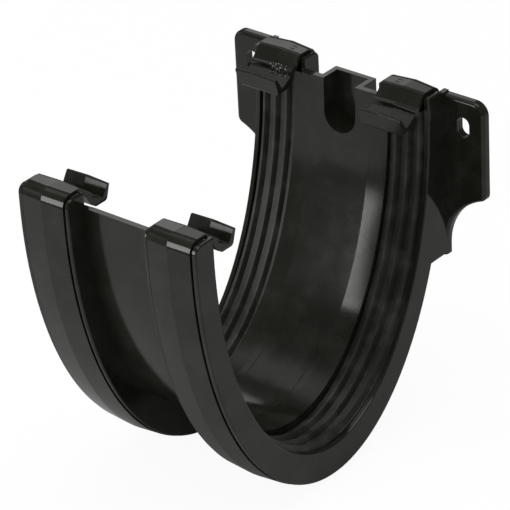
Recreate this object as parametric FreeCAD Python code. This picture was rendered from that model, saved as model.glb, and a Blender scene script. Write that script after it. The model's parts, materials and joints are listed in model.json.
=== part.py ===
"""Gutter union bracket: moulded body, two clip straps and two ribbed seals.

Units are millimetres. X runs along the gutter, Y points to the wall and Z points up. The origin
lies on the wall plane, midway between the two fixing slots.
"""

import math
import os

import FreeCAD
import Part

from FreeCAD import Vector

# Overall sizes that drive the rest
HALF_LENGTH = 40.0          # middle of the union to an end face
HALF_WIDTH = 57.6           # middle of the gutter to the inside of a seated gutter
DEPTH = 105.2               # inside depth of a seated gutter below the spring line
CAP_Z = 14.5                # top of the clip caps above the fixing slots
SPRING_Z = CAP_Z - 8.35     # level where the straight sides turn into the half ellipse
MID_Y = -HALF_WIDTH - 15.1  # middle of the gutter, measured from the wall plane


def grown(width, depth):
    """A half ellipse larger than the inside of a seated gutter by these amounts."""
    return (HALF_WIDTH + width, DEPTH + depth)


# Half ellipses as (half width, depth below the spring line)
CHANNEL_IN = grown(2.2, -2.4)
CHANNEL_OUT = grown(4.5, 0.0)
MOUTH = grown(2.9, 2.1)
SEAL_FACE = grown(4.4, 1.6)
SEAL_SEAT = grown(8.0, 6.4)
RIM_OUT = grown(10.4, 11.2)
STRAP_IN = grown(10.65, 11.5)
STRAP_OUT = grown(13.6, 15.5)
FLANGE_OUT = grown(12.4, 14.3)

# Levels measured down from the cap tops
FLANGE_DROP = 1.7
SLAB_THICK = 2.1            # thickness of the cap that bridges the rim
RIM_DROP = SLAB_THICK + 0.25
FRONT_WALL_DROP = 7.3
BACK_WALL_DROP = 6.0
SEAL_DROP = 7.9

# Stations along the gutter, set back from the end face
INNER_FLANGE = (HALF_LENGTH - 23.0, HALF_LENGTH - 21.5)
LEAD_IN = HALF_LENGTH - 26.4   # where the channel starts to flare towards its end
STEP_FACE = HALF_LENGTH - 18.6
OUTER_FLANGE_IN = HALF_LENGTH - 2.0
STRAP_SPAN = (HALF_LENGTH - 21.1, HALF_LENGTH - 2.4)
FLANGE_EDGE_R = 0.55
FLANGE_CORNER_R = 3.0
MOUTH_EDGE_R = 0.5
LEAD_FLARE = 0.75

# Clip strap; hook points are (inward from the cap's inner edge, drop, corner radius, flare with the draft)
STRAP_DRAFT = 0.75  # drop of the outer side from the middle crease to each end
CAP_DRAFT_SHARE = 0.5
CAP_OUTER_R = 4.4
CAP_INNER_R = 1.5
CAP_INNER_V = HALF_WIDTH + 3.6  # inner top edge of the cap, from the middle of the gutter
HOOK_TOP = [(4.6, 4.4, 0.6, 0), (6.0, 4.6, 0.4, 0), (5.8, 6.5, 0.7, 0),
            (10.8, 9.4, 0.5, 0.4), (13.6, 4.8, 0.35, 0.4), (15.2, 4.6, 0.5, 0)]
HOOK_NIB = [(12.9, 12.6, 1.1), (8.5, 11.9, 1.2), (5.0, 9.5, 1.5), (3.1, 6.1, 0.8)]
NIB_END_R = 2.6

# Ribbed seal
SEAL_SPAN = (HALF_LENGTH - 18.4, HALF_LENGTH - 2.2)
SEAL_CLEAR = 0.1
RIDGE_STATIONS = [HALF_LENGTH - 14.7, HALF_LENGTH - 9.5, HALF_LENGTH - 4.4]
RIDGE_HEIGHT = 2.0
RIDGE_FOOT = 2.8
RIDGE_TOP = 0.8

# Ears with the fixing slots
EAR_THICK = 3.5
EAR_HALF_SPAN = HALF_LENGTH + 17.6
EAR_TOP_DROP = 3.5
EAR_CORNER_R = 5.0
EAR_LOW_R = 3.0
EAR_ARC_R = 24.6
EAR_ARC_DROP = 66.0  # level where the concave edge runs into the end web
EAR_FOOT_DROP = 70.0
EAR_EDGE_R = 1.5
SLOT_X = HALF_LENGTH + 8.6
SLOT_WIDTH = 5.4
SLOT_HEIGHT = 8.2
WEB_FOOT_DROP = 69.0

# Pocket behind the back wall
POCKET_HALF = 7.2
POCKET_WALL = 2.0
POCKET_REAR_V = HALF_WIDTH + 12.4
POCKET_CENTRE_DROP = 19.0


def point(x, v, z):
    """A point from its station, its distance from the middle of the gutter and its level."""
    return Vector(x, MID_Y + v, z)


def half_ellipse(x, size):
    """The lower half ellipse of a U, from the front to the back."""
    width, depth = size
    centre = point(x, 0, SPRING_Z)
    ellipse = Part.Ellipse(point(x, 0, SPRING_Z - depth), point(x, width, SPRING_Z), centre)
    return Part.ArcOfEllipse(ellipse, -math.pi / 2, math.pi / 2).toShape()


def top_corner(x, side, inner, outer, top, r):
    """Top of one leg of a U, from its outer side over a rounded corner to its inner side."""
    rise = point(x, side * outer, top - r)
    level = point(x, side * (outer - r), top)
    near = r * (1 - math.sqrt(0.5))
    edges = [Part.makeLine(point(x, side * outer, SPRING_Z), rise)]
    if r > 0:
        edges.append(Part.Arc(rise, point(x, side * (outer - near), top - near), level).toShape())
    edges.append(Part.makeLine(level, point(x, side * inner, top)))
    edges.append(Part.makeLine(point(x, side * inner, top), point(x, side * inner, SPRING_Z)))
    return edges


def u_wire(x, inner, outer, front_top, back_top, corner_r=0):
    """Closed outline of a U-shaped ring at one station."""
    edges = [half_ellipse(x, outer), half_ellipse(x, inner)]
    edges += top_corner(x, 1, inner[0], outer[0], back_top, corner_r)
    edges += top_corner(x, -1, inner[0], outer[0], front_top, corner_r)
    return Part.Wire(Part.__sortEdges__(edges))


def u_ring(x0, x1, inner, outer, front_top, back_top):
    """A U-shaped ring between two stations."""
    face = Part.Face(u_wire(x0, inner, outer, front_top, back_top))
    return face.extrude(Vector(x1 - x0, 0, 0))


def edges_where(shape, test):
    """The edges of a shape whose middle point passes a test."""
    return [e for e in shape.Edges if test(e.CenterOfMass)]


def rounded_path(points):
    """Lines and arcs through corner points given as (v, z, corner radius)."""
    edges = []
    start = None
    for i in range(1, len(points) - 1):
        before = Vector(0, points[i - 1][0], points[i - 1][1])
        corner = Vector(0, points[i][0], points[i][1])
        after = Vector(0, points[i + 1][0], points[i + 1][1])
        start = before if start is None else start
        back = (before - corner).normalize()
        ahead = (after - corner).normalize()
        half = math.acos(max(-1.0, min(1.0, back.dot(ahead)))) / 2
        reach = points[i][2] / math.tan(half)
        enter = corner + back * reach
        leave = corner + ahead * reach
        bisector = (back + ahead).normalize()
        middle = corner + bisector * (points[i][2] / math.sin(half) - points[i][2])
        edges.append(Part.makeLine(start, enter))
        edges.append(Part.Arc(enter, middle, leave).toShape())
        start = leave
    last = points[-1]
    edges.append(Part.makeLine(start, Vector(0, last[0], last[1])))
    return edges


def strap_side(inset):
    """Cap and hook of the strap on one side, from the outer side up, over and back down inside."""
    top = CAP_Z - CAP_DRAFT_SHARE * inset
    outer = STRAP_OUT[0] - inset
    path = [(outer, SPRING_Z, 0), (outer, top, CAP_OUTER_R), (CAP_INNER_V, top, CAP_INNER_R)]
    for inward, drop, radius, flare in HOOK_TOP:
        path.append((CAP_INNER_V - inward - flare * inset, top - drop, radius))
    for inward, drop, radius in HOOK_NIB:
        path.append((CAP_INNER_V - inward, CAP_Z - drop, radius))
    path.append((CAP_INNER_V + 0.9, CAP_Z - SLAB_THICK, 0.6))
    path.append((STRAP_IN[0], CAP_Z - SLAB_THICK, 0.5))
    path.append((STRAP_IN[0], SPRING_Z, 0))
    return path


def strap_wire(x, inset):
    """Closed outline of the clip strap at one station, drawn in by the draft there."""
    side = strap_side(inset)
    front = [(-v, z, r) for v, z, r in side]
    edges = rounded_path(side) + rounded_path(front)
    for edge in edges:
        edge.translate(Vector(x, MID_Y, 0))
    outer = (STRAP_OUT[0] - inset, STRAP_OUT[1] - inset)
    edges.append(half_ellipse(x, outer))
    edges.append(half_ellipse(x, STRAP_IN))
    return Part.Wire(Part.__sortEdges__(edges))


def nib_corner(x, side, sign):
    """Cutter that rounds the lower corner of a hook nib at one of its ends."""
    low = CAP_Z - HOOK_NIB[0][1]
    box = Part.makeBox(NIB_END_R + 1, 12, NIB_END_R + 1)
    box.translate(Vector(x - (0 if side < 0 else NIB_END_R + 1) + side * 0.5, 0, low - 0.5))
    axis = Vector(x - side * NIB_END_R, -1, low + NIB_END_R)
    box = box.cut(Part.makeCylinder(NIB_END_R, 14, axis, Vector(0, 1, 0)))
    reach = CAP_INNER_V - 16.0
    box.translate(Vector(0, MID_Y + (reach if sign > 0 else -reach - 12), 0))
    return box


def make_strap():
    """Clip strap of the right-hand end."""
    x0, x1 = STRAP_SPAN
    middle = (x0 + x1) / 2
    left = Part.makeLoft([strap_wire(x0, STRAP_DRAFT), strap_wire(middle, 0)], True, True)
    right = Part.makeLoft([strap_wire(middle, 0), strap_wire(x1, STRAP_DRAFT)], True, True)
    strap = left.fuse(right)
    for sign in (-1, 1):
        strap = strap.cut(nib_corner(x0, -1, sign))
        strap = strap.cut(nib_corner(x1, 1, sign))
    return strap


def make_ridge(x, outer):
    """One ridge of the seal, with its root let into the base."""
    top = CAP_Z - SEAL_DROP
    steps = [(-RIDGE_FOOT / 2, 0), (-RIDGE_TOP / 2, RIDGE_HEIGHT)]
    steps += [(RIDGE_TOP / 2, RIDGE_HEIGHT), (RIDGE_FOOT / 2, 0)]
    wires = []
    for shift, rise in steps:
        inner = (SEAL_FACE[0] - rise, SEAL_FACE[1] - rise)
        wires.append(u_wire(x + shift, inner, outer, top, top))
    return Part.makeLoft(wires, True, True)


def make_seal():
    """Ribbed seal of the right-hand end."""
    x0, x1 = SEAL_SPAN
    outer = (SEAL_SEAT[0] - SEAL_CLEAR, SEAL_SEAT[1] - SEAL_CLEAR)
    root = (SEAL_FACE[0] + 0.8, SEAL_FACE[1] + 0.8)
    top = CAP_Z - SEAL_DROP
    base = u_ring(x0, x1, SEAL_FACE, outer, top, top)
    ridges = [make_ridge(x, root) for x in RIDGE_STATIONS]
    return base.multiFuse(ridges).removeSplitter()


def make_flange(x_strap, x_open, inner, outer, mouth_r):
    """A thin upright flange, chamfered beside the strap and rounded on its open side."""
    r = FLANGE_EDGE_R
    step = math.copysign(r, x_open - x_strap)
    top = CAP_Z - FLANGE_DROP
    steps = [(x_strap, 0.5 * r, 0), (x_strap + 0.5 * step, 0, 0), (x_open - step, 0, 0),
             (x_open - 0.3 * step, 0.3 * r, 0.3 * mouth_r), (x_open, r, mouth_r)]
    wires = []
    for x, inset, widen in steps:
        wide = (inner[0] + widen, inner[1] + widen)
        tall = (outer[0] - inset, outer[1] - inset)
        wires.append(u_wire(x, wide, tall, top - inset, top - inset, FLANGE_CORNER_R - inset))
    return Part.makeLoft(wires, True, True)


def make_rim():
    """Step, rim wall and both flanges of the right-hand end."""
    low = CAP_Z - FRONT_WALL_DROP
    x0, x1 = INNER_FLANGE
    step = u_ring(x0 + 0.2, STEP_FACE, CHANNEL_IN, RIM_OUT, low, low)
    wall_top = CAP_Z - RIM_DROP
    wall = u_ring(x0 + 0.7, OUTER_FLANGE_IN + 0.8, SEAL_SEAT, RIM_OUT, wall_top, wall_top)
    inner_size = (CHANNEL_OUT[0] - 0.6, CHANNEL_OUT[1] - 0.6)
    inboard = make_flange(x1, x0, inner_size, FLANGE_OUT, 0)
    outboard = make_flange(OUTER_FLANGE_IN, HALF_LENGTH, MOUTH, FLANGE_OUT, MOUTH_EDGE_R)
    return [step, wall, inboard, outboard]


def ear_outline():
    """Wire of an ear on the wall plane, from the end web out to its free edge."""
    top = CAP_Z - EAR_TOP_DROP
    foot = CAP_Z - EAR_FOOT_DROP
    x_in = OUTER_FLANGE_IN + 0.2
    x_out = EAR_HALF_SPAN
    centre_x = HALF_LENGTH + EAR_ARC_R
    centre_z = CAP_Z - EAR_ARC_DROP
    meet_z = centre_z + math.sqrt(EAR_ARC_R ** 2 - (centre_x - x_out) ** 2)
    bend = math.radians(135)
    mid = Vector(centre_x + EAR_ARC_R * math.cos(bend), 0, centre_z + EAR_ARC_R * math.sin(bend))
    shoulder = Vector(HALF_LENGTH, 0, centre_z)
    corners = [Vector(HALF_LENGTH, 0, foot), Vector(x_in, 0, foot), Vector(x_in, 0, top),
               Vector(x_out, 0, top), Vector(x_out, 0, meet_z)]
    edges = [Part.makeLine(p, q) for p, q in zip(corners, corners[1:])]
    edges.append(Part.Arc(corners[-1], mid, shoulder).toShape())
    edges.append(Part.makeLine(shoulder, corners[0]))
    return Part.Wire(Part.__sortEdges__(edges))


def make_ear():
    """Ear plate with its rounded outline, rounded front edge and upright fixing slot."""
    ear = Part.Face(ear_outline()).extrude(Vector(0, -EAR_THICK, 0))
    high = CAP_Z - EAR_TOP_DROP - 0.1
    low = high - EAR_CORNER_R - 1.0

    def on_free_edge(c):
        return abs(c.y + EAR_THICK / 2) < 0.01 and abs(c.x - EAR_HALF_SPAN) < 0.01

    ear = ear.makeFillet(EAR_CORNER_R, edges_where(ear, lambda c: on_free_edge(c) and c.z > high))
    ear = ear.makeFillet(EAR_LOW_R, edges_where(ear, lambda c: on_free_edge(c) and c.z < low))
    rim = edges_where(ear, lambda c: c.y < 0.01 - EAR_THICK and c.x > HALF_LENGTH + 1.0)
    return ear.makeFillet(EAR_EDGE_R, rim).cut(make_slot())


def make_slot():
    """Cutter for one upright fixing slot, rounded at both ends."""
    r = SLOT_WIDTH / 2
    half = SLOT_HEIGHT / 2 - r
    box = Part.makeBox(SLOT_WIDTH, EAR_THICK + 4, 2 * half)
    box.translate(Vector(SLOT_X - r, -EAR_THICK - 2, -half))
    ends = [Part.makeCylinder(r, EAR_THICK + 4, Vector(SLOT_X, -EAR_THICK - 2, z), Vector(0, 1, 0))
            for z in (-half, half)]
    return box.fuse(ends)


def make_web():
    """End web that carries the outboard flange back to the wall plane."""
    top = CAP_Z - FLANGE_DROP - 1.2
    foot = CAP_Z - WEB_FOOT_DROP
    depth = -MID_Y - HALF_WIDTH / 2
    web = Part.makeBox(HALF_LENGTH - OUTER_FLANGE_IN, depth, top - foot)
    web.translate(Vector(OUTER_FLANGE_IN, -depth, foot))
    size = (FLANGE_OUT[0] - 1.0, FLANGE_OUT[1] - 1.0)
    return web.cut(solid_u(size, OUTER_FLANGE_IN - 1, HALF_LENGTH + 1, CAP_Z + 5))


def filled_u(x, size, top):
    """Outline of a filled U at one station."""
    width = size[0]
    corners = [point(x, width, SPRING_Z), point(x, width, top), point(x, -width, top),
               point(x, -width, SPRING_Z)]
    edges = [half_ellipse(x, size)] + [Part.makeLine(p, q) for p, q in zip(corners, corners[1:])]
    return Part.Wire(Part.__sortEdges__(edges))


def solid_u(size, x0, x1, top):
    """A filled U between two stations."""
    return Part.Face(filled_u(x0, size, top)).extrude(Vector(x1 - x0, 0, 0))


def make_lead_in():
    """Cutter that flares the last stretch of the channel towards the seal."""
    slope = LEAD_FLARE / (STEP_FACE - LEAD_IN)
    wires = []
    for x in (LEAD_IN - 0.5, STEP_FACE + 0.5):
        widen = slope * (x - LEAD_IN)
        wires.append(filled_u(x, (CHANNEL_IN[0] + widen, CHANNEL_IN[1] + widen), CAP_Z + 5))
    return Part.makeLoft(wires, True, True)


def pocket_block(half, v0, v1, top):
    """Upright block with a half-round foot, between two distances from the middle."""
    centre = CAP_Z - POCKET_CENTRE_DROP
    left = point(-half, v0, centre)
    right = point(half, v0, centre)
    corners = [right, point(half, v0, top), point(-half, v0, top), left]
    edges = [Part.makeLine(p, q) for p, q in zip(corners, corners[1:])]
    edges.append(Part.Arc(left, point(0, v0, centre - half), right).toShape())
    return Part.Face(Part.Wire(Part.__sortEdges__(edges))).extrude(Vector(0, v1 - v0, 0))


def mirrored(shape):
    """The same piece for the left-hand end."""
    return shape.mirror(Vector(0, 0, 0), Vector(1, 0, 0))


def make_body():
    """Channel, both rims, both ears and the pocket as one moulding."""
    front = CAP_Z - FRONT_WALL_DROP
    back = CAP_Z - BACK_WALL_DROP
    reach = INNER_FLANGE[0] + 0.4
    channel = u_ring(-reach, reach, CHANNEL_IN, CHANNEL_OUT, front, back)
    end = make_rim() + [make_web(), make_ear()]
    pieces = end + [mirrored(piece) for piece in end]
    outer_half = POCKET_HALF + POCKET_WALL
    block = pocket_block(outer_half, CHANNEL_OUT[0] - 1.2, POCKET_REAR_V, back)
    hollow = pocket_block(POCKET_HALF, CHANNEL_IN[0] - 4, POCKET_REAR_V - POCKET_WALL, back + 3)
    block = block.cut(solid_u(CHANNEL_IN, -20, 20, CAP_Z + 5))
    lead = make_lead_in()
    body = channel.multiFuse(pieces + [block]).removeSplitter()
    return body.cut([hollow, lead, mirrored(lead)])


def main():
    """Build every piece and write one file for each."""
    os.makedirs("parts", exist_ok=True)
    strap = make_strap()
    seal = make_seal()
    pieces = {
        "bracket_body": make_body(),
        "clip_strap_right": strap,
        "clip_strap_left": mirrored(strap),
        "seal_right": seal,
        "seal_left": mirrored(seal),
    }
    for name, shape in pieces.items():
        solid = shape.Solids[0]
        box = solid.BoundBox
        print(name, len(shape.Solids), solid.isValid(), round(solid.Volume), [round(v, 2) for v in (
            box.XMin, box.XMax, box.YMin, box.YMax, box.ZMin, box.ZMax)])
        solid.exportStep("parts/%s.step" % name)


main()
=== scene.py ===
"""Looks of a gutter union bracket: finishes, small moulded details, studio light and camera.

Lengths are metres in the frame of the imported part: X along the gutter, Y to the wall, Z up, with
the origin on the wall plane midway between the fixing slots.
"""

from __future__ import annotations

import json
import logging
import math
from dataclasses import dataclass
from enum import Enum

import bpy
from mathutils import Matrix, Quaternion, Vector
from mathutils.bvhtree import BVHTree

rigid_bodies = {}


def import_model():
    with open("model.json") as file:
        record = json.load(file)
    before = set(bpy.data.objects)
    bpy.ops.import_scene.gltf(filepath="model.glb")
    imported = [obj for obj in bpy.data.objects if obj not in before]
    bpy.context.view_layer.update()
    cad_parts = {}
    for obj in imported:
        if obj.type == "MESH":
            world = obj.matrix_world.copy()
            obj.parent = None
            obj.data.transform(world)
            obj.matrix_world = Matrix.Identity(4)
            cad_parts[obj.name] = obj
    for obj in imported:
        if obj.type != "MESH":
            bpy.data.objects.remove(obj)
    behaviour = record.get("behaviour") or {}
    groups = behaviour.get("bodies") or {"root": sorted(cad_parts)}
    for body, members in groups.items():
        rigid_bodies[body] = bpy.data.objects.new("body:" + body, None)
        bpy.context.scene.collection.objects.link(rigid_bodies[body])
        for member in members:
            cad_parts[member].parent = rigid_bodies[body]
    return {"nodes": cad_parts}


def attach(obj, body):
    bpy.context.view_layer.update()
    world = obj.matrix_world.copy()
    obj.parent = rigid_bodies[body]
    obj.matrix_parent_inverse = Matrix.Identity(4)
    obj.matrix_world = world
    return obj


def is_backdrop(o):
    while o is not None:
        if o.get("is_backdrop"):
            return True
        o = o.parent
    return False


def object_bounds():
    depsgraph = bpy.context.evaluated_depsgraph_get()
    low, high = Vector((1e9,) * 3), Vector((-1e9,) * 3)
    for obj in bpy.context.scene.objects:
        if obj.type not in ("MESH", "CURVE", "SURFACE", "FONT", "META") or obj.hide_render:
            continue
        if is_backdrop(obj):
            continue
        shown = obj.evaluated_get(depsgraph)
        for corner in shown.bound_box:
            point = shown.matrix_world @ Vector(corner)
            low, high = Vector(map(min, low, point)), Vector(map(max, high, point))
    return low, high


LOG = logging.getLogger("scene")
MM = 0.001
FLOOR_GAP = 0.2 * MM
POLYMER_IOR = 1.5

Nodes = dict[str, bpy.types.Object]
Pair = tuple[float, float]
Triple = tuple[float, float, float]


class Slot(Enum):
    """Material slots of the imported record."""

    BODY = "body"
    STRAPS = "straps"
    SEALS = "seals"


def linear(hex_colour: str) -> tuple[float, float, float, float]:
    """Turn an sRGB hex colour into linear values.

    Args:
        hex_colour: six hex digits, with or without a leading hash.

    Returns:
        Linear red, green, blue and an alpha of one.
    """
    digits = hex_colour.lstrip("#")
    parts = [int(digits[i:i + 2], 16) / 255 for i in (0, 2, 4)]
    out = [c / 12.92 if c <= 0.04045 else ((c + 0.055) / 1.055) ** 2.4 for c in parts]
    return (out[0], out[1], out[2], 1.0)


class Graph:
    """A node tree with one short way to add nodes."""

    def __init__(self, tree: bpy.types.NodeTree) -> None:
        """Keep the tree and empty it.

        Args:
            tree: the node tree to fill.
        """
        self.tree = tree
        tree.nodes.clear()

    def add(self, kind: str, settings: dict | None = None, **sockets: object) -> bpy.types.Node:
        """Add a node, set its properties and set or link its inputs.

        Args:
            kind: Blender's node type.
            settings: properties of the node itself.
            **sockets: input name, with spaces as underscores, to a value or an output socket.

        Returns:
            The new node.
        """
        node = self.tree.nodes.new(kind)
        for name, value in (settings or {}).items():
            setattr(node, name, value)
        for name, value in sockets.items():
            socket = self.socket(node, name)
            if isinstance(value, bpy.types.NodeSocket):
                self.tree.links.new(value, socket)
            else:
                socket.default_value = value
        return node

    @staticmethod
    def socket(node: bpy.types.Node, name: str) -> bpy.types.NodeSocket:
        """Find an input by its name, or by its number written as in1.

        Args:
            node: the node to look in.
            name: the input's name with underscores for spaces, or in followed by its number.

        Returns:
            The input socket.
        """
        if name.startswith("in") and name[2:].isdigit():
            return node.inputs[int(name[2:])]
        return node.inputs[name.replace("_", " ")]


def start_material(name: str) -> tuple[bpy.types.Material, Graph]:
    """Make an empty material.

    Args:
        name: name of the material.

    Returns:
        The material and its graph.
    """
    material = bpy.data.materials.new(name)
    material.use_nodes = True
    return material, Graph(material.node_tree)


@dataclass(frozen=True)
class ChannelSection:
    """Half ellipse of the channel's inside, which its skin and its insertion lines follow."""

    middle: Triple = (0.0, -72.7 * MM, 6.15 * MM)
    half_width: float = 59.8 * MM
    depth: float = 102.8 * MM


@dataclass(frozen=True)
class LeadInSkin:
    """Skin of the channel's flared ends, which shrank and lies flatter than the cut steel."""

    section: ChannelSection = ChannelSection()
    start: float = 13.6 * MM
    end: float = 21.4 * MM
    ease: float = 0.42 * MM
    outside: float = 1.025

    def height(self, graph: Graph, where: bpy.types.NodeSocket) -> bpy.types.NodeSocket:
        """Add the nodes that raise the skin along the flared ends, on the channel's inside only.

        Args:
            graph: the material's graph.
            where: object coordinates.

        Returns:
            The height, from nought to one.
        """
        shift = tuple(-v for v in self.section.middle)
        near = graph.add("ShaderNodeVectorMath", {"operation": "ADD"}, in0=where, in1=shift)
        along = graph.add("ShaderNodeSeparateXYZ", Vector=near.outputs[0])
        reach = graph.add("ShaderNodeMath", {"operation": "ABSOLUTE"}, in0=along.outputs["X"])
        ramp = graph.add("ShaderNodeMapRange", Value=reach.outputs[0], From_Min=self.start,
                         From_Max=self.end)
        scale = (0.0, 1 / self.section.half_width, 1 / self.section.depth)
        squeezed = graph.add("ShaderNodeVectorMath", {"operation": "MULTIPLY"},
                             in0=near.outputs[0], in1=scale)
        radius = graph.add("ShaderNodeVectorMath", {"operation": "LENGTH"}, in0=squeezed.outputs[0])
        inside = graph.add("ShaderNodeMath", {"operation": "LESS_THAN"},
                           in0=radius.outputs["Value"], in1=self.outside)
        return graph.add("ShaderNodeMath", {"operation": "MULTIPLY"}, in0=ramp.outputs[0],
                         in1=inside.outputs[0]).outputs[0]


@dataclass(frozen=True)
class MouldedPvc:
    """Black PVC-U, injection-moulded in a polished tool."""

    # The tool leaves a satin-gloss skin: the eye gets clear but slightly swimming reflections, a
    # few pale dust specks, and cloudy patches where hands and packing rubbed the gloss.
    # The orange peel and the specks are finer on the real skin; they are drawn at about a
    # millimetre so that they show.
    name: str
    lead_in: LeadInSkin | None = None
    colour: str = "#1e1e18"
    dusty: str = "#3c3c37"
    roughness: float = 0.12
    gloss_spread: Pair = (0.75, 1.35)
    cloud: float = 21.0 * MM
    cloud_range: Pair = (0.3, 0.7)
    speck: float = 1.1 * MM
    speck_range: Pair = (0.68, 0.8)
    speck_share: float = 0.7
    blotch: float = 12.0 * MM
    blotch_range: Pair = (0.46, 0.78)
    blotch_share: float = 0.5
    wave: float = 17.0 * MM
    wave_height: float = 0.06 * MM
    wave_strength: float = 0.5
    peel: float = 1.4 * MM
    peel_height: float = 0.004 * MM
    peel_strength: float = 0.35

    def tint(self, graph: Graph, where: bpy.types.NodeSocket) -> bpy.types.NodeSocket:
        """Add the nodes of the colour.

        Args:
            graph: the material's graph.
            where: object coordinates.

        Returns:
            The colour.
        """
        speck = graph.add("ShaderNodeTexNoise", Vector=where, Scale=1 / self.speck, Detail=2.0)
        low, high = self.speck_range
        dust = graph.add("ShaderNodeMapRange", Value=speck.outputs["Fac"], From_Min=low,
                         From_Max=high, To_Max=self.speck_share)
        blotch = graph.add("ShaderNodeTexNoise", Vector=where, Scale=1 / self.blotch, Detail=5.0,
                           Roughness=0.65)
        low, high = self.blotch_range
        haze = graph.add("ShaderNodeMapRange", Value=blotch.outputs["Fac"], From_Min=low,
                         From_Max=high, To_Max=self.blotch_share)
        both = graph.add("ShaderNodeMath", {"operation": "MAXIMUM"}, in0=dust.outputs[0],
                         in1=haze.outputs[0])
        return graph.add("ShaderNodeMix", {"data_type": "RGBA"}, in0=both.outputs[0],
                         in6=linear(self.colour), in7=linear(self.dusty)).outputs[2]

    def relief(self, graph: Graph, where: bpy.types.NodeSocket) -> bpy.types.NodeSocket:
        """Add the nodes of the wavy skin and its orange peel.

        Args:
            graph: the material's graph.
            where: object coordinates.

        Returns:
            The bent normal.
        """
        wave = graph.add("ShaderNodeTexNoise", Vector=where, Scale=1 / self.wave, Detail=1.5,
                         Roughness=0.45)
        broad = graph.add("ShaderNodeBump", Strength=self.wave_strength, Distance=self.wave_height,
                          Height=wave.outputs["Fac"])
        if self.lead_in:
            flat = graph.add("ShaderNodeBump", Strength=1.0, Distance=self.lead_in.ease,
                             Height=self.lead_in.height(graph, where))
            graph.tree.links.new(flat.outputs[0], broad.inputs["Normal"])
        peel = graph.add("ShaderNodeTexNoise", Vector=where, Scale=1 / self.peel, Detail=2.0,
                         Roughness=0.5)
        return graph.add("ShaderNodeBump", Strength=self.peel_strength, Distance=self.peel_height,
                         Height=peel.outputs["Fac"], Normal=broad.outputs[0]).outputs[0]

    def build(self) -> bpy.types.Material:
        """Make the material.

        Returns:
            The finished material.
        """
        material, graph = start_material(self.name)
        where = graph.add("ShaderNodeTexCoord").outputs["Object"]
        cloud = graph.add("ShaderNodeTexNoise", Vector=where, Scale=1 / self.cloud, Detail=4.0,
                          Roughness=0.6)
        start, end = self.cloud_range
        low, high = self.gloss_spread
        rough = graph.add("ShaderNodeMapRange", Value=cloud.outputs["Fac"], From_Min=start,
                          From_Max=end, To_Min=self.roughness * low, To_Max=self.roughness * high)
        shader = graph.add("ShaderNodeBsdfPrincipled", Base_Color=self.tint(graph, where),
                           Roughness=rough.outputs[0], IOR=POLYMER_IOR,
                           Normal=self.relief(graph, where))
        graph.add("ShaderNodeOutputMaterial", Surface=shader.outputs[0])
        return material


@dataclass(frozen=True)
class MouldedRubber:
    """Black EPDM rubber, compression-moulded."""

    # Rubber copies the tool but keeps no gloss: the eye gets soft broad sheens along the ridges,
    # greyed in patches by bloom. Its grain is finer than a pixel and is drawn at 0.7 mm to show.
    name: str = "moulded_black_epdm"
    colour: str = "#2a2a26"
    bloom: str = "#4e4e48"
    roughness: float = 0.42
    sheen_spread: Pair = (0.85, 1.25)
    sheen_range: Pair = (0.3, 0.75)
    cloud: float = 9.0 * MM
    bloom_range: Pair = (0.45, 0.8)
    grain: float = 0.7 * MM
    grain_height: float = 0.03 * MM
    grain_strength: float = 0.4

    def build(self) -> bpy.types.Material:
        """Make the material.

        Returns:
            The finished material.
        """
        material, graph = start_material(self.name)
        where = graph.add("ShaderNodeTexCoord").outputs["Object"]
        cloud = graph.add("ShaderNodeTexNoise", Vector=where, Scale=1 / self.cloud, Detail=4.0,
                          Roughness=0.6)
        start, end = self.bloom_range
        haze = graph.add("ShaderNodeMapRange", Value=cloud.outputs["Fac"], From_Min=start,
                         From_Max=end)
        tint = graph.add("ShaderNodeMix", {"data_type": "RGBA"}, in0=haze.outputs[0],
                         in6=linear(self.colour), in7=linear(self.bloom))
        start, end = self.sheen_range
        low, high = self.sheen_spread
        rough = graph.add("ShaderNodeMapRange", Value=cloud.outputs["Fac"], From_Min=start,
                          From_Max=end, To_Min=self.roughness * low, To_Max=self.roughness * high)
        grain = graph.add("ShaderNodeTexNoise", Vector=where, Scale=1 / self.grain, Detail=3.0)
        bump = graph.add("ShaderNodeBump", Strength=self.grain_strength, Distance=self.grain_height,
                         Height=grain.outputs["Fac"])
        shader = graph.add("ShaderNodeBsdfPrincipled", Base_Color=tint.outputs[2],
                           Roughness=rough.outputs[0], IOR=POLYMER_IOR, Normal=bump.outputs[0])
        graph.add("ShaderNodeOutputMaterial", Surface=shader.outputs[0])
        return material


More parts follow.
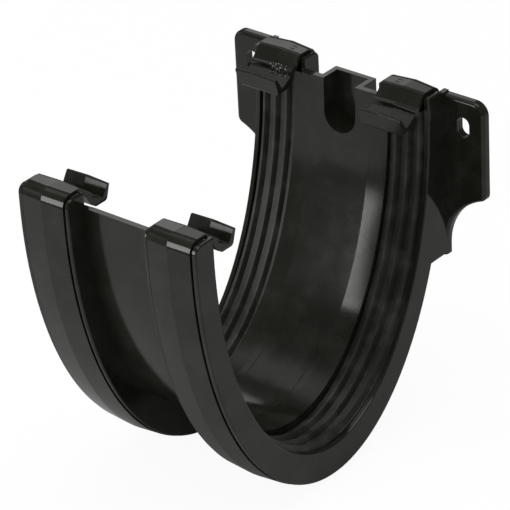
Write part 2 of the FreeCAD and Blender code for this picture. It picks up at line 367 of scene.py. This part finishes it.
@dataclass(frozen=True)
class TornPvc:
    """Black PVC-U torn across where a moulding gate was broken off."""

    # A torn face has no tool skin and whitens where it stretched. Its pale grain is partly that
    # whitening and partly painted glints, broken up by black. The whitening is finer on the real
    # tear and is drawn at 0.9 mm to show.
    name: str = "torn_black_pvcu"
    colour: str = "#1e1e18"
    whitening_and_glints: str = "#a2a29c"
    roughness: float = 0.3
    grain: float = 0.9 * MM
    whitening_and_glint_range: Pair = (0.5, 0.64)
    pit: float = 0.25 * MM
    pit_depth: float = 0.08 * MM
    pit_strength: float = 0.6

    def build(self) -> bpy.types.Material:
        """Make the material.

        Returns:
            The finished material.
        """
        material, graph = start_material(self.name)
        where = graph.add("ShaderNodeTexCoord").outputs["Object"]
        # Pale grain in the colour: partly stress-whitening, partly painted glints.
        grain = graph.add("ShaderNodeTexNoise", Vector=where, Scale=1 / self.grain, Detail=2.0)
        low, high = self.whitening_and_glint_range
        white = graph.add("ShaderNodeMapRange", Value=grain.outputs["Fac"], From_Min=low,
                          From_Max=high)
        tint = graph.add("ShaderNodeMix", {"data_type": "RGBA"}, in0=white.outputs[0],
                         in6=linear(self.colour), in7=linear(self.whitening_and_glints))
        pits = graph.add("ShaderNodeTexNoise", Vector=where, Scale=1 / self.pit, Detail=2.0)
        bump = graph.add("ShaderNodeBump", Strength=self.pit_strength, Distance=self.pit_depth,
                         Height=pits.outputs["Fac"])
        shader = graph.add("ShaderNodeBsdfPrincipled", Base_Color=tint.outputs[2],
                           Roughness=self.roughness, IOR=POLYMER_IOR, Normal=bump.outputs[0])
        graph.add("ShaderNodeOutputMaterial", Surface=shader.outputs[0])
        return material


class DetailTree:
    """A Geometry Nodes tree with named inputs that is turned into a plain mesh."""

    def __init__(self, name: str) -> None:
        """Start an empty tree with a geometry input and output.

        Args:
            name: name of the tree and of the piece it makes.
        """
        self.name = name
        self.tree = bpy.data.node_groups.new(name, "GeometryNodeTree")
        self.graph = Graph(self.tree)
        self.values: dict[str, float] = {}
        for way in ("INPUT", "OUTPUT"):
            self.tree.interface.new_socket("Geometry", in_out=way, socket_type="NodeSocketGeometry")
        self.source = self.graph.add("NodeGroupInput")

    def size(self, name: str, value: float) -> bpy.types.NodeSocket:
        """Add a named input with its value.

        Args:
            name: name of the input.
            value: the value that the piece uses.

        Returns:
            The socket to link from.
        """
        entry = self.tree.interface.new_socket(name, in_out="INPUT", socket_type="NodeSocketFloat")
        self.values[entry.identifier] = value
        return self.source.outputs[name]

    def close(self, geometry: bpy.types.NodeSocket, material: bpy.types.Material) -> None:
        """End the tree in real meshes with a finish.

        Args:
            geometry: what the tree made.
            material: the finish.
        """
        real = self.graph.add("GeometryNodeRealizeInstances", Geometry=geometry)
        dressed = self.graph.add("GeometryNodeSetMaterial", Geometry=real.outputs[0],
                                 Material=material)
        self.graph.add("NodeGroupOutput", Geometry=dressed.outputs[0])

    def bake(self, base: bpy.types.Mesh | None = None) -> bpy.types.Object:
        """Run the tree once and keep its mesh as a piece of the part.

        Args:
            base: mesh that the tree starts from, where it needs one.

        Returns:
            The finished piece.
        """
        piece = bpy.data.objects.new(self.name, base or bpy.data.meshes.new(self.name))
        bpy.context.scene.collection.objects.link(piece)
        modifier = piece.modifiers.new("shape", "NODES")
        modifier.node_group = self.tree
        for identifier, value in self.values.items():
            modifier[identifier] = value
        graph = bpy.context.evaluated_depsgraph_get()
        mesh = bpy.data.meshes.new_from_object(piece.evaluated_get(graph))
        piece.modifiers.clear()
        piece.data = mesh
        mesh.name = self.name
        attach(piece, "root")
        LOG.info("%s: %d faces", self.name, len(mesh.polygons))
        return piece


@dataclass(frozen=True)
class SubAssembly:
    """CAD nodes that share a material slot and a finish."""

    node_names: tuple[str, ...]
    slot: Slot

    def dress(self, nodes: Nodes, material: bpy.types.Material) -> None:
        """Give the CAD nodes a finish.

        Args:
            nodes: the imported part's nodes by name.
            material: the finish.
        """
        for name in self.node_names:
            mesh = nodes[name].data
            mesh.materials.clear()
            mesh.materials.append(material)
            LOG.info("%s: %s", name, material.name)


@dataclass(frozen=True)
class BracketBody(SubAssembly):
    """The main moulding, with two raised lines that show how far a gutter end goes in."""

    node_names: tuple[str, ...] = ("bracket_body",)
    slot: Slot = Slot.BODY
    section: ChannelSection = ChannelSection()
    line_reach: float = 10.7 * MM
    line_bead: float = 0.26 * MM
    line_half_angle: float = 28.0
    line_steps: int = 48
    bead_sides: int = 10

    def insertion_lines(self, material: bpy.types.Material) -> bpy.types.Object:
        """Sweep a bead along the channel's section and set one at each side of the middle.

        Args:
            material: the finish.

        Returns:
            The piece.
        """
        made = DetailTree("insertion_lines")
        graph = made.graph
        sweep = math.radians(2 * self.line_half_angle)
        arc = graph.add("GeometryNodeCurveArc", {"mode": "RADIUS"}, Resolution=self.line_steps,
                        Radius=1.0, Start_Angle=-sweep / 2, Sweep_Angle=sweep)
        path = graph.add("GeometryNodeTransform", Geometry=arc.outputs[0],
                         Translation=self.section.middle, Rotation=(0.0, math.pi / 2, 0.0),
                         Scale=(self.section.depth, self.section.half_width, 1.0))
        bead = graph.add("GeometryNodeCurvePrimitiveCircle", Resolution=self.bead_sides,
                         Radius=made.size("Bead", self.line_bead))
        line = graph.add("GeometryNodeCurveToMesh", Curve=path.outputs[0],
                         Profile_Curve=bead.outputs[0], Fill_Caps=True)
        reach = made.size("Reach", self.line_reach)
        back = graph.add("ShaderNodeMath", {"operation": "MULTIPLY"}, in0=reach, in1=-1.0)
        apart = graph.add("ShaderNodeMath", {"operation": "MULTIPLY"}, in0=reach, in1=2.0)
        start = graph.add("ShaderNodeCombineXYZ", X=back.outputs[0])
        offset = graph.add("ShaderNodeCombineXYZ", X=apart.outputs[0])
        places = graph.add("GeometryNodeMeshLine", Count=2, Start_Location=start.outputs[0],
                           Offset=offset.outputs[0])
        lines = graph.add("GeometryNodeInstanceOnPoints", Points=places.outputs[0],
                          Instance=line.outputs[0])
        made.close(lines.outputs[0], material)
        return made.bake()

    def build(self, nodes: Nodes) -> None:
        """Dress the moulding and add its lines.

        Args:
            nodes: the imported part's nodes by name.
        """
        finish = MouldedPvc("moulded_black_pvcu_body", LeadInSkin(self.section)).build()
        self.dress(nodes, finish)
        self.insertion_lines(finish)


@dataclass(frozen=True)
class ClipStraps(SubAssembly):
    """The two clip-on straps, with dashes on their back caps and a torn gate on one hook."""

    node_names: tuple[str, ...] = ("clip_strap_left", "clip_strap_right")
    slot: Slot = Slot.STRAPS
    dash_reach: float = 24.3 * MM
    dash_row: float = -8.6 * MM
    dash_spacing: float = 1.9 * MM
    dash_length: float = 2.0 * MM
    dash_bead: float = 0.34 * MM
    dash_level: float = 14.14 * MM
    bead_sides: int = 12
    gate_strap: str = "clip_strap_left"
    gate_middle: Triple = (-24.8 * MM, -17.0 * MM, 8.4 * MM)
    gate_width: float = 8.4 * MM
    gate_height: float = 4.6 * MM
    gate_facing: Triple = (-0.562, 0.662, -0.496)
    gate_standoff: float = 30.0 * MM
    gate_cells: tuple[int, int] = (24, 14)
    crumb: float = 0.38 * MM
    crumb_levels: int = 1
    crumb_scale: Pair = (0.45, 1.35)
    crumbs_per_m2: float = 2.6e6
    spot_seed: int = 7
    turn_seed: int = 3
    scale_seed: int = 5

    def cap_dashes(self, material: bpy.types.Material) -> bpy.types.Object:
        """Set a short bead at each of four places on the back caps.

        Args:
            material: the finish.

        Returns:
            The piece.
        """
        made = DetailTree("cap_dashes")
        graph = made.graph
        half = self.dash_length / 2
        path = graph.add("GeometryNodeCurvePrimitiveLine", Start=(-half, 0.0, 0.0),
                         End=(half, 0.0, 0.0))
        bead = graph.add("GeometryNodeCurvePrimitiveCircle", Resolution=self.bead_sides,
                         Radius=made.size("Bead", self.dash_bead))
        dash = graph.add("GeometryNodeCurveToMesh", Curve=path.outputs[0],
                         Profile_Curve=bead.outputs[0], Fill_Caps=True)
        reach = graph.add("ShaderNodeMath", {"operation": "MULTIPLY"},
                          in0=made.size("Reach", self.dash_reach), in1=2.0)
        grid = graph.add("GeometryNodeMeshGrid", Size_X=reach.outputs[0],
                         Size_Y=made.size("Spacing", self.dash_spacing), Vertices_X=2, Vertices_Y=2)
        places = graph.add("GeometryNodeTransform", Geometry=grid.outputs[0],
                           Translation=(0.0, self.dash_row, self.dash_level))
        dashes = graph.add("GeometryNodeInstanceOnPoints", Points=places.outputs[0],
                           Instance=dash.outputs[0])
        made.close(dashes.outputs[0], material)
        return made.bake()

    def gate_ground(self, strap: bpy.types.Object) -> bpy.types.Mesh:
        """Drape a grid over the hook's ledge, to scatter crumbs on.

        Args:
            strap: the strap's CAD node.

        Returns:
            The draped mesh.
        """
        tree = BVHTree.FromPolygons([v.co for v in strap.data.vertices],
                                    [f.vertices for f in strap.data.polygons])
        inward = Vector(self.gate_facing).normalized()
        rise = (Vector((0.0, 0.0, 1.0)) - inward * inward.z).normalized()
        across = Vector((1.0, 0.0, 0.0))
        columns, rows = self.gate_cells
        points: list[Vector] = []
        for j in range(rows + 1):
            for i in range(columns + 1):
                spot = Vector(self.gate_middle) + across * self.gate_width * (i / columns - 0.5)
                spot += rise * self.gate_height * (j / rows - 0.5)
                hit = tree.ray_cast(spot - inward * self.gate_standoff, inward)[0]
                points.append(hit if hit is not None else spot)
        step = columns + 1
        faces = [(j * step + i, j * step + i + 1, (j + 1) * step + i + 1, (j + 1) * step + i)
                 for j in range(rows) for i in range(columns)]
        mesh = bpy.data.meshes.new("gate_ground")
        mesh.from_pydata(points, [], faces)
        return mesh

    def gate_scar(self, strap: bpy.types.Object, material: bpy.types.Material) -> bpy.types.Object:
        """Scatter turned and squeezed crumbs where the gate broke off.

        Args:
            strap: the strap's CAD node.
            material: the finish.

        Returns:
            The piece.
        """
        made = DetailTree("gate_scar")
        graph = made.graph
        spots = graph.add("GeometryNodeDistributePointsOnFaces",
                          Mesh=made.source.outputs["Geometry"],
                          Density=made.size("Density", self.crumbs_per_m2),
                          Seed=self.spot_seed)
        crumb = graph.add("GeometryNodeMeshIcoSphere", Radius=made.size("Crumb", self.crumb),
                          Subdivisions=self.crumb_levels)
        turn = graph.add("FunctionNodeRandomValue", {"data_type": "FLOAT_VECTOR"},
                         in1=(math.tau,) * 3, Seed=self.turn_seed)
        low, high = self.crumb_scale
        scale = graph.add("FunctionNodeRandomValue", {"data_type": "FLOAT_VECTOR"},
                          in0=(low,) * 3, in1=(high,) * 3, Seed=self.scale_seed)
        crumbs = graph.add("GeometryNodeInstanceOnPoints", Points=spots.outputs[0],
                           Instance=crumb.outputs[0], Rotation=turn.outputs[0],
                           Scale=scale.outputs[0])
        made.close(crumbs.outputs[0], material)
        return made.bake(self.gate_ground(strap))

    def build(self, nodes: Nodes) -> None:
        """Dress the straps and add their small details.

        Args:
            nodes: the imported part's nodes by name.
        """
        finish = MouldedPvc("moulded_black_pvcu_strap").build()
        self.dress(nodes, finish)
        self.cap_dashes(finish)
        self.gate_scar(nodes[self.gate_strap], TornPvc().build())


@dataclass(frozen=True)
class Seals(SubAssembly):
    """The two ribbed rubber seals."""

    node_names: tuple[str, ...] = ("seal_left", "seal_right")
    slot: Slot = Slot.SEALS

    def build(self, nodes: Nodes) -> None:
        """Dress the seals.

        Args:
            nodes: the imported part's nodes by name.
        """
        self.dress(nodes, MouldedRubber().build())


@dataclass(frozen=True)
class PaleFloor:
    """Plain pale table top that reads as white to the camera and keeps a faint shadow."""

    # Matt painted board: the eye gets an even near-white ground. Part of it shines by itself for
    # camera rays only, so that the ground is white without more light on the part.
    name: str = "matt_painted_board"
    colour: str = "#cbcbcb"
    camera_share: float = 0.86
    camera_level: float = 1.09
    left: float = -0.31
    right: float = 4.0
    front: float = -0.38
    back: float = 4.0

    def material(self) -> bpy.types.Material:
        """Make the floor's material.

        Returns:
            The finished material.
        """
        material, graph = start_material(self.name)
        path = graph.add("ShaderNodeLightPath")
        diffuse = graph.add("ShaderNodeBsdfDiffuse", Color=linear(self.colour))
        white = graph.add("ShaderNodeEmission", Strength=self.camera_level)
        share = graph.add("ShaderNodeMath", {"operation": "MULTIPLY"},
                          in0=path.outputs["Is Camera Ray"], in1=self.camera_share)
        seen = graph.add("ShaderNodeMixShader", in0=share.outputs[0], in1=diffuse.outputs[0],
                         in2=white.outputs[0])
        graph.add("ShaderNodeOutputMaterial", Surface=seen.outputs[0])
        return material

    def build(self, level: float) -> bpy.types.Object:
        """Make the floor.

        Args:
            level: height of the floor.

        Returns:
            The floor object, marked as stage.
        """
        mesh = bpy.data.meshes.new("floor")
        corners = [(self.left, self.front), (self.right, self.front), (self.right, self.back),
                   (self.left, self.back)]
        mesh.from_pydata([(x, y, level) for x, y in corners], [], [(0, 1, 2, 3)])
        mesh.materials.append(self.material())
        floor = bpy.data.objects.new("floor", mesh)
        bpy.context.scene.collection.objects.link(floor)
        floor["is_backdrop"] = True
        return floor


@dataclass(frozen=True)
class Softbox:
    """A rectangular studio lamp aimed at the part; angles are in degrees."""

    name: str
    azimuth: float
    elevation: float
    distance: float
    width: float
    height: float
    radiance: float
    falloff: float = 0.0
    roll: float = 0.0

    def shade(self, data: bpy.types.AreaLight) -> None:
        """Let the light fall off towards the edges of the box.

        Args:
            data: the lamp's data.
        """
        data.use_nodes = True
        graph = Graph(data.node_tree)
        place = graph.add("ShaderNodeNewGeometry").outputs["Parametric"]
        centred = graph.add("ShaderNodeVectorMath", {"operation": "MULTIPLY_ADD"}, in0=place,
                            in1=(2.0, 2.0, 0.0), in2=(-1.0, -1.0, 0.0))
        reach = graph.add("ShaderNodeVectorMath", {"operation": "LENGTH"}, in0=centred.outputs[0])
        glow = graph.add("ShaderNodeMapRange", {"interpolation_type": "SMOOTHSTEP"},
                         Value=reach.outputs["Value"], From_Min=1.0 - self.falloff, From_Max=1.0,
                         To_Min=1.0, To_Max=0.0)
        lit = graph.add("ShaderNodeEmission", Strength=glow.outputs[0])
        graph.add("ShaderNodeOutputLight", Surface=lit.outputs[0])

    def build(self, target: Vector) -> bpy.types.Object:
        """Make the lamp.

        Args:
            target: the point it looks at.

        Returns:
            The lamp object.
        """
        a, e = math.radians(self.azimuth), math.radians(self.elevation)
        away = Vector((math.sin(a) * math.cos(e), -math.cos(a) * math.cos(e), math.sin(e)))
        data = bpy.data.lights.new(self.name, "AREA")
        data.shape = "RECTANGLE"
        data.size, data.size_y = self.width, self.height
        data.energy = self.radiance * math.pi * self.width * self.height
        if self.falloff > 0:
            self.shade(data)
        lamp = bpy.data.objects.new(self.name, data)
        lamp.location = target + away * self.distance
        lamp.rotation_mode = "QUATERNION"
        turned = Quaternion((0.0, 0.0, 1.0), math.radians(self.roll))
        lamp.rotation_quaternion = (-away).to_track_quat("-Z", "Y") @ turned
        bpy.context.scene.collection.objects.link(lamp)
        return lamp


@dataclass(frozen=True)
class Studio:
    """World, lamps and floor around the part."""

    target: Triple = (0.0, -0.07, -0.045)
    fill: float = 0.44
    mirror_level: float = 0.128
    lamps: tuple[Softbox, ...] = (
        Softbox("key", azimuth=-24.2, elevation=10.0, distance=0.66, width=0.19, height=0.4,
                radiance=4.9, roll=4.0),
        Softbox("side", azimuth=-66.0, elevation=10.0, distance=1.2, width=0.8, height=0.8,
                radiance=0.4),
        Softbox("over", azimuth=-92.0, elevation=57.0, distance=1.3, width=1.1, height=0.62,
                radiance=0.52, falloff=0.8),
        Softbox("back", azimuth=-137.0, elevation=29.0, distance=3.0, width=1.28, height=1.0,
                radiance=1.1, falloff=0.6),
        Softbox("top", azimuth=20.0, elevation=86.0, distance=1.1, width=0.8, height=0.8,
                radiance=1.6),
    )

    def world(self) -> None:
        """Set a plain world that is white to the camera and dim in the part's reflections."""
        world = bpy.data.worlds.new("studio")
        bpy.context.scene.world = world
        world.use_nodes = True
        graph = Graph(world.node_tree)
        path = graph.add("ShaderNodeLightPath")
        bounced = graph.add("ShaderNodeMath", {"operation": "MAXIMUM"},
                            in0=path.outputs["Is Glossy Ray"],
                            in1=path.outputs["Is Transmission Ray"])
        soft = graph.add("ShaderNodeMix", in0=bounced.outputs[0], in2=self.fill,
                         in3=self.mirror_level)
        level = graph.add("ShaderNodeMix", in0=path.outputs["Is Camera Ray"], in2=soft.outputs[0],
                          in3=1.0)
        ground = graph.add("ShaderNodeBackground", Color=linear("#ffffff"),
                           Strength=level.outputs[0])
        graph.add("ShaderNodeOutputWorld", Surface=ground.outputs[0])

    def build(self, level: float) -> None:
        """Make the world, the lamps and the floor.

        Args:
            level: height of the floor.
        """
        self.world()
        for lamp in self.lamps:
            lamp.build(Vector(self.target))
        PaleFloor().build(level)
        LOG.info("studio: %d lamps and a floor", len(self.lamps))


@dataclass(frozen=True)
class PhotoCamera:
    """Camera fitted to the photograph's viewing angle."""

    location: Triple = (0.7069, -0.8987, 0.5849)
    right: Triple = (0.77845, 0.62605, -0.04558)
    up: Triple = (-0.28019, 0.41154, 0.86725)
    back: Triple = (0.56170, -0.66234, 0.49577)
    sensor_mm: float = 36.0
    lens_mm: float = 246.4
    clip: Pair = (0.01, 50.0)

    def build(self) -> bpy.types.Object:
        """Make the camera and give it to the scene.

        Returns:
            The camera object.
        """
        data = bpy.data.cameras.new("camera")
        data.sensor_width = self.sensor_mm
        data.lens = self.lens_mm
        data.clip_start, data.clip_end = self.clip
        camera = bpy.data.objects.new("camera", data)
        turn = Matrix((self.right, self.up, self.back)).transposed()
        camera.matrix_world = Matrix.Translation(self.location) @ turn.to_4x4()
        bpy.context.scene.collection.objects.link(camera)
        bpy.context.scene.camera = camera
        return camera


def clear_scene() -> None:
    """Remove what a fresh file starts with."""
    for thing in list(bpy.data.objects):
        bpy.data.objects.remove(thing)


def main() -> None:
    """Build the looks in order."""
    logging.basicConfig(level=logging.INFO)
    clear_scene()
    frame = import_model()
    cad_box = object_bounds()
    bpy.context.scene.view_settings.view_transform = "Standard"
    PhotoCamera().build()
    Studio().build(cad_box[0].z - FLOOR_GAP)
    nodes = frame["nodes"]
    BracketBody().build(nodes)
    ClipStraps().build(nodes)
    Seals().build(nodes)


if __name__ == "__main__":
    main()
